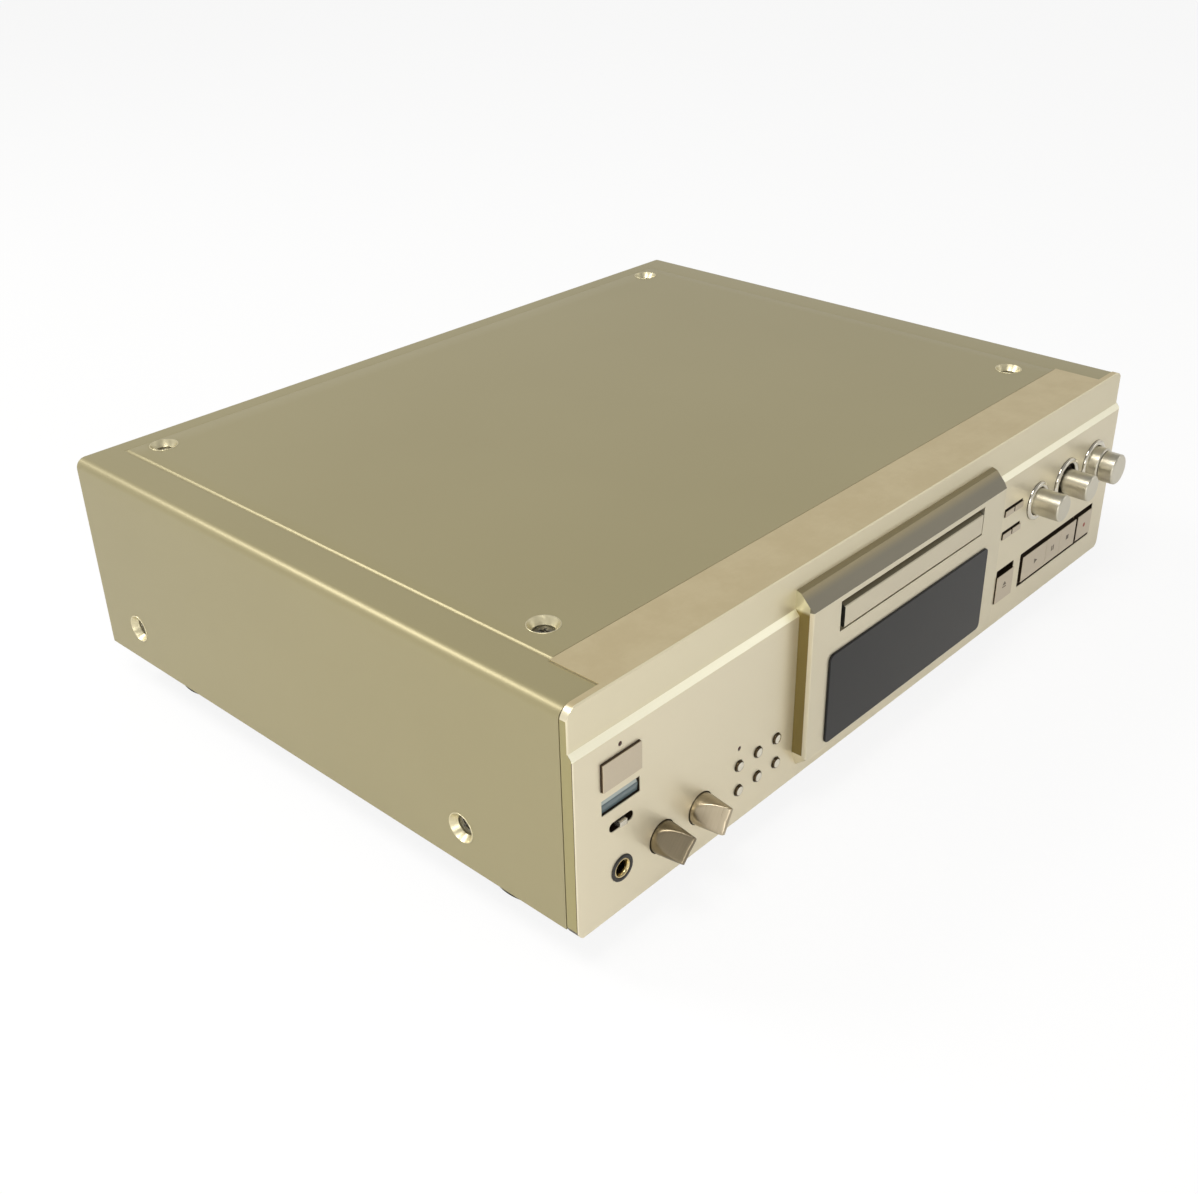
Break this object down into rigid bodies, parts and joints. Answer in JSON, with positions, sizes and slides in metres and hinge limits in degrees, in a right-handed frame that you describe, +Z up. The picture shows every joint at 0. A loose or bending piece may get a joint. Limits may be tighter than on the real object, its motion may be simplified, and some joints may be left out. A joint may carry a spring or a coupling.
{
  "type": "minidisc deck",
  "caption": "Full-width hi-fi minidisc deck with a motor-driven disc tray, display window, blade knobs, dials, transport keys and a metal wrap cover.",
  "frame": {"origin": "middle of the deck's footprint on the surface that it stands on", "axes": "+X to the right seen from the front, +Y from the front panel to the rear, +Z up"},
  "size_m": [0.4306, 0.3498, 0.1229],
  "materials": {
    "panel_champagne": "fine satin champagne anodising",
    "bezel_champagne": "fine satin champagne anodising",
    "cover_paint": "metallic olive-champagne paint with a fine grain",
    "window_acrylic": "smoked acrylic, polished",
    "polished": "bright polished plating",
    "steel": "plain zinc-plated sheet",
    "knob_champagne": "turned and satin champagne anodising",
    "key_champagne": "satin champagne paint on plastic",
    "dark_plastic": "dark moulded plastic",
    "foot_plastic": "dark moulded plastic",
    "receiver_tint": "translucent blue-grey plastic",
    "led_lens": "translucent red-brown, unlit",
    "jack_gold": "gold-plated contact in a black bezel",
    "board_green": "glass-fibre circuit board with solder mask",
    "board_brown": "paper-phenolic circuit board",
    "tube_glass": "dark fluorescent display tube",
    "white_plastic": "natural acetal",
    "mechanism_plastic": "glass-filled moulded plastic",
    "core_lacquer": "lacquered laminations and taped winding"
  },
  "bodies": {
    "case": {"front_panel": "panel_champagne", "centre_bezel": "bezel_champagne", "display_window": "window_acrylic", "wrap_cover": "cover_paint", "cover_bolts": "polished", "bolt_cups": "polished", "cover_brace": "steel", "bottom_chassis": "steel", "rear_panel": "steel", "feet": "foot_plastic", "bottom_screws": "steel", "led_lenses": "led_lens", "receiver_window": "receiver_tint", "timer_switch": "dark_plastic", "phones_jack": "jack_gold", "rotary_controls": "steel", "dial_rings": "polished", "transport_frame": "dark_plastic", "front_board": "board_green", "display_tube": "tube_glass", "loader_frame": "mechanism_plastic", "loading_motor": "steel", "main_board": "board_green", "power_board": "board_brown", "transformer": "core_lacquer", "rear_jacks": "dark_plastic", "mains_inlet": "dark_plastic"},
    "timer_lever": {"timer_lever": "polished"},
    "tray": {"tray": "mechanism_plastic", "tray_front": "bezel_champagne"},
    "pickup": {"pickup_base": "steel", "pickup_motors": "steel"},
    "power_button": {"power_button": "key_champagne"},
    "round_button_1": {"round_button_1": "polished"},
    "round_button_2": {"round_button_2": "polished"},
    "round_button_3": {"round_button_3": "polished"},
    "round_button_4": {"round_button_4": "polished"},
    "round_button_5": {"round_button_5": "polished"},
    "round_button_6": {"round_button_6": "polished"},
    "small_key_1": {"small_key_1": "key_champagne"},
    "small_key_2": {"small_key_2": "key_champagne"},
    "small_key_3": {"small_key_3": "key_champagne"},
    "small_key_4": {"small_key_4": "key_champagne"},
    "eject_key": {"eject_key": "key_champagne"},
    "play_key": {"play_key": "key_champagne"},
    "pause_key": {"pause_key": "key_champagne"},
    "stop_key": {"stop_key": "key_champagne"},
    "record_key": {"record_key": "key_champagne"},
    "level_knob": {"level_knob": "knob_champagne"},
    "input_knob": {"input_knob": "knob_champagne"},
    "dial_1": {"dial_1": "knob_champagne"},
    "dial_2": {"dial_2": "knob_champagne"},
    "twin_dial_front": {"twin_dial_front": "knob_champagne"},
    "twin_dial_rear": {"twin_dial_rear": "knob_champagne"},
    "loading_gear": {"loading_gear": "white_plastic"},
    "motor_gear": {"motor_gear": "white_plastic"},
    "turntable": {"turntable": "polished"},
    "sled": {"laser_sled": "mechanism_plastic"},
    "lead_screw": {"lead_screw": "steel"},
    "head_arm": {"head_arm": "steel"}
  },
  "joints": [
    {"name": "power_button_press", "type": "slide", "parent": "case", "child": "power_button", "axis": [0, 1, 0], "range_m": [0, 0.001], "stiffness_N_per_m": 400},
    {"name": "round_button_1_press", "type": "slide", "parent": "case", "child": "round_button_1", "axis": [0, 1, 0], "range_m": [0, 0.001], "stiffness_N_per_m": 400},
    {"name": "round_button_2_press", "type": "slide", "parent": "case", "child": "round_button_2", "axis": [0, 1, 0], "range_m": [0, 0.001], "stiffness_N_per_m": 400},
    {"name": "round_button_3_press", "type": "slide", "parent": "case", "child": "round_button_3", "axis": [0, 1, 0], "range_m": [0, 0.001], "stiffness_N_per_m": 400},
    {"name": "round_button_4_press", "type": "slide", "parent": "case", "child": "round_button_4", "axis": [0, 1, 0], "range_m": [0, 0.001], "stiffness_N_per_m": 400},
    {"name": "round_button_5_press", "type": "slide", "parent": "case", "child": "round_button_5", "axis": [0, 1, 0], "range_m": [0, 0.001], "stiffness_N_per_m": 400},
    {"name": "round_button_6_press", "type": "slide", "parent": "case", "child": "round_button_6", "axis": [0, 1, 0], "range_m": [0, 0.001], "stiffness_N_per_m": 400},
    {"name": "small_key_1_press", "type": "slide", "parent": "case", "child": "small_key_1", "axis": [0, 1, 0], "range_m": [0, 0.001], "stiffness_N_per_m": 400},
    {"name": "small_key_2_press", "type": "slide", "parent": "case", "child": "small_key_2", "axis": [0, 1, 0], "range_m": [0, 0.001], "stiffness_N_per_m": 400},
    {"name": "small_key_3_press", "type": "slide", "parent": "case", "child": "small_key_3", "axis": [0, 1, 0], "range_m": [0, 0.001], "stiffness_N_per_m": 400},
    {"name": "small_key_4_press", "type": "slide", "parent": "case", "child": "small_key_4", "axis": [0, 1, 0], "range_m": [0, 0.001], "stiffness_N_per_m": 400},
    {"name": "eject_key_press", "type": "slide", "parent": "case", "child": "eject_key", "axis": [0, 1, 0], "range_m": [0, 0.001], "stiffness_N_per_m": 400},
    {"name": "play_key_press", "type": "slide", "parent": "case", "child": "play_key", "axis": [0, 1, 0], "range_m": [0, 0.001], "stiffness_N_per_m": 400},
    {"name": "pause_key_press", "type": "slide", "parent": "case", "child": "pause_key", "axis": [0, 1, 0], "range_m": [0, 0.001], "stiffness_N_per_m": 400},
    {"name": "stop_key_press", "type": "slide", "parent": "case", "child": "stop_key", "axis": [0, 1, 0], "range_m": [0, 0.001], "stiffness_N_per_m": 400},
    {"name": "record_key_press", "type": "slide", "parent": "case", "child": "record_key", "axis": [0, 1, 0], "range_m": [0, 0.001], "stiffness_N_per_m": 400},
    {"name": "timer_lever_slide", "type": "slide", "parent": "case", "child": "timer_lever", "axis": [1, 0, 0], "range_m": [-0.004, 0.004]},
    {"name": "level_knob_turn", "type": "hinge", "parent": "case", "child": "level_knob", "pos_m": [-0.166, -0.15965, 0.039], "axis": [0, 1, 0], "range_deg": [-193, 107]},
    {"name": "input_knob_turn", "type": "hinge", "parent": "case", "child": "input_knob", "pos_m": [-0.1421, -0.15965, 0.039], "axis": [0, 1, 0], "range_deg": [-54, 0]},
    {"name": "dial_1_turn", "type": "hinge", "parent": "case", "child": "dial_1", "pos_m": [0.129, -0.15965, 0.0775], "axis": [0, 1, 0], "continuous": true},
    {"name": "dial_2_turn", "type": "hinge", "parent": "case", "child": "dial_2", "pos_m": [0.16, -0.15965, 0.0775], "axis": [0, 1, 0], "continuous": true},
    {"name": "twin_dial_front_turn", "type": "hinge", "parent": "case", "child": "twin_dial_front", "pos_m": [0.191, -0.15965, 0.0775], "axis": [0, 1, 0], "range_deg": [-150, 150]},
    {"name": "twin_dial_rear_turn", "type": "hinge", "parent": "case", "child": "twin_dial_rear", "pos_m": [0.191, -0.15965, 0.0775], "axis": [0, 1, 0], "range_deg": [-150, 150]},
    {"name": "tray_slide", "type": "slide", "parent": "case", "child": "tray", "axis": [0, -1, 0], "range_m": [0, 0.086]},
    {"name": "loading_gear_turn", "type": "hinge", "parent": "case", "child": "loading_gear", "pos_m": [-0.06255, -0.12565, 0.0886], "axis": [0, 0, -1], "range_deg": [0, 494]},
    {"name": "motor_gear_turn", "type": "hinge", "parent": "case", "child": "motor_gear", "pos_m": [-0.06255, -0.10477, 0.0886], "axis": [0, 0, 1], "range_deg": [0, 1646]},
    {"name": "pickup_lift", "type": "slide", "parent": "case", "child": "pickup", "axis": [0, 0, 1], "range_m": [0, 0.0025]},
    {"name": "turntable_spin", "type": "hinge", "parent": "pickup", "child": "turntable", "pos_m": [0, -0.11885, 0.0886], "axis": [0, 0, 1], "continuous": true},
    {"name": "sled_slide", "type": "slide", "parent": "pickup", "child": "sled", "axis": [1, 0, 0], "range_m": [0, 0.013]},
    {"name": "lead_screw_turn", "type": "hinge", "parent": "pickup", "child": "lead_screw", "pos_m": [0, -0.09785, 0.081], "axis": [1, 0, 0], "range_deg": [0, 1171]},
    {"name": "head_arm_lift", "type": "hinge", "parent": "sled", "child": "head_arm", "pos_m": [0.022, -0.07165, 0.1002], "axis": [-1, 0, 0], "range_deg": [0, 6]}
  ],
  "couplings": [
    {"joint": "loading_gear_turn", "follows": "tray_slide", "rad_per_m": 100},
    {"joint": "motor_gear_turn", "follows": "tray_slide", "rad_per_m": 333.33},
    {"joint": "lead_screw_turn", "follows": "sled_slide", "rad_per_m": 1570.8}
  ]
}
